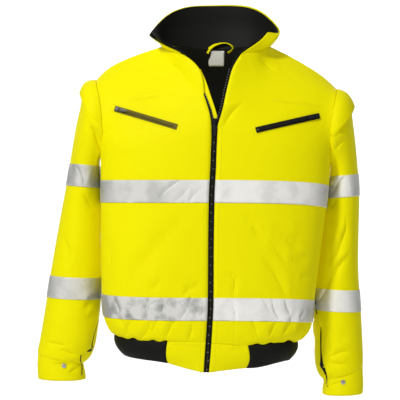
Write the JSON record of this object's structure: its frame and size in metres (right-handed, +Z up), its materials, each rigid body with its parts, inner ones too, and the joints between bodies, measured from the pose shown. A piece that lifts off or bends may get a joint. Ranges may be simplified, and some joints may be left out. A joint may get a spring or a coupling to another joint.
{
  "type": "hi-vis work jacket",
  "caption": "Bomber-style hi-vis work jacket in its worn shape, open at neck, hem and cuffs, with reflective bands, zips whose pulls swing, armhole flaps, ribbed hem and snap cuffs.",
  "frame": {"origin": "middle of the neck seam, where the jacket hangs on the wearer's neck and shoulders", "axes": "+Z up, -Y is the front of the jacket, +X is the right of somebody who looks at the front"},
  "size_m": [0.762, 0.2804, 0.9177],
  "materials": {
    "hi_vis": "fluorescent yellow coated polyester",
    "black_cloth": "black lining and rib knit",
    "reflective": "silver retroreflective tape",
    "zip_black": "black woven zip tape",
    "zip_metal": "black enamel",
    "snap_metal": "satin",
    "label_white": "woven label"
  },
  "bodies": {
    "jacket": {"armhole_cover_left": "hi_vis", "armhole_cover_right": "hi_vis", "back": "hi_vis", "back_lining": "black_cloth", "collar_lining": "black_cloth", "collar_outer": "hi_vis", "cuff_left": "hi_vis", "cuff_right": "hi_vis", "cuff_snap_left": "snap_metal", "cuff_snap_right": "snap_metal", "front_left": "hi_vis", "front_right": "hi_vis", "hanger_loop": "hi_vis", "hem_panel_left": "hi_vis", "hem_panel_right": "hi_vis", "neck_label": "label_white", "pocket_slider_left": "zip_metal", "pocket_slider_right": "zip_metal", "pocket_zip_left": "zip_black", "pocket_zip_right": "zip_black", "rib_hem": "black_cloth", "sleeve_left": "hi_vis", "sleeve_right": "hi_vis", "storm_flap": "hi_vis", "tape_chest_back": "reflective", "tape_chest_left": "reflective", "tape_chest_right": "reflective", "tape_hem_back": "reflective", "tape_hem_left": "reflective", "tape_hem_right": "reflective", "tape_sleeve_lower_left": "reflective", "tape_sleeve_lower_right": "reflective", "tape_sleeve_upper_left": "reflective", "tape_sleeve_upper_right": "reflective", "zip_slider": "zip_metal", "zip_tape_left": "zip_black", "zip_tape_right": "zip_black"},
    "main_pull": {"zip_pull": "zip_metal"},
    "pocket_pull_left": {"pocket_pull_left": "zip_metal"},
    "pocket_pull_right": {"pocket_pull_right": "zip_metal"}
  },
  "joints": [
    {"name": "main_pull_hinge", "type": "hinge", "parent": "jacket", "child": "main_pull", "pos_m": [-0.003, -0.1396, -0.1764], "axis": [-1, 0, 0], "range_deg": [0, 150]},
    {"name": "pocket_pull_left_hinge", "type": "hinge", "parent": "jacket", "child": "pocket_pull_left", "pos_m": [-0.21786, -0.09413, -0.14234], "axis": [-0.3545, -0.1677, -0.9199], "range_deg": [0, 150]},
    {"name": "pocket_pull_right_hinge", "type": "hinge", "parent": "jacket", "child": "pocket_pull_right", "pos_m": [0.22514, -0.09281, -0.15793], "axis": [-0.2882, 0.1341, 0.9482], "range_deg": [0, 150]}
  ]
}
